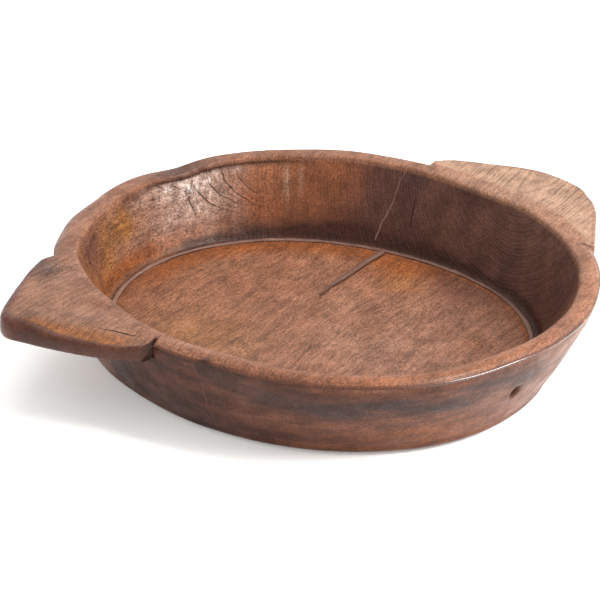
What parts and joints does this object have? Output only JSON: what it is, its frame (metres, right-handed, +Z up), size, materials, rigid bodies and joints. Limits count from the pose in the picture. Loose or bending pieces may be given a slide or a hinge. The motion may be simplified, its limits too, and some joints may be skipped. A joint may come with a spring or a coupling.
{
  "type": "carved wooden bowl",
  "caption": "Shallow oval bowl carved from one piece of wood, with a flat lug handle level with the rim at each end and putty repairs.",
  "frame": {"origin": "middle of the flat foot, on the surface that the bowl stands on", "axes": "+Z up out of the bowl's mouth, +X from the left lug to the right lug along the bowl's longest extent, +Y across, away from the side with the outer wall's repaired split"},
  "size_m": [0.453, 0.4048, 0.0706],
  "materials": {
    "carved_wood": "worn, oiled and waxed hardwood, satin, with dark stains and a paler bleached lug",
    "putty": "matt grey-brown filling putty, smoothed by hand",
    "pale_putty": "matt pale brown filling putty, rubbed flush"
  },
  "bodies": {
    "root": {"bowl_body": "carved_wood", "floor_edge_bead": "putty", "floor_split_filler": "putty", "back_wall_split_filler": "putty", "front_wall_split_filler": "pale_putty"}
  },
  "joints": []
}
